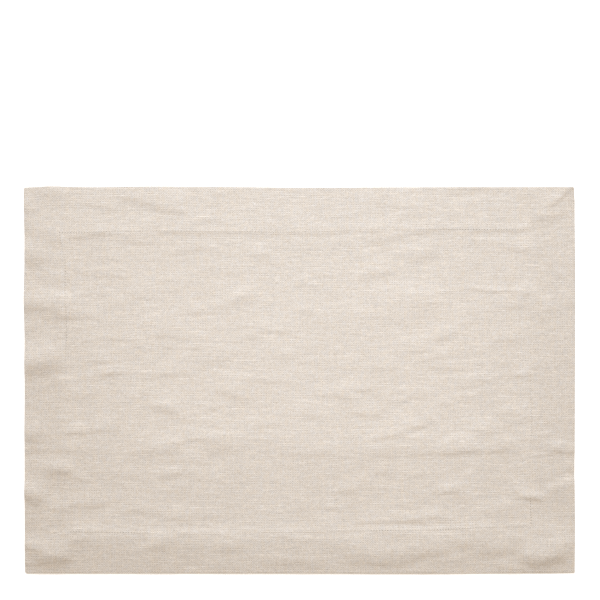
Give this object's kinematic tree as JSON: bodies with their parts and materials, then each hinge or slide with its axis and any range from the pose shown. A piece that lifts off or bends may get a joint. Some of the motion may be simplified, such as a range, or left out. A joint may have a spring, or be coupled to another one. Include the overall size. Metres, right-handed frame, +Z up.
{
  "type": "fabric placemat",
  "caption": "Rectangular linen placemat with a wide turned-under mitred hem, laid flat and softly creased, to go under a plate and cutlery.",
  "frame": {"origin": "centre of the mat's outline, on the table it lies on", "axes": "+X along the mat's length, +Y across it towards its back edge, +Z up out of its face"},
  "size_m": [0.5008, 0.352, 0.0043],
  "materials": {
    "linen": "natural plain-weave linen, matt, lightly creased"
  },
  "bodies": {
    "root": {"placemat_cloth": "linen"}
  },
  "joints": []
}
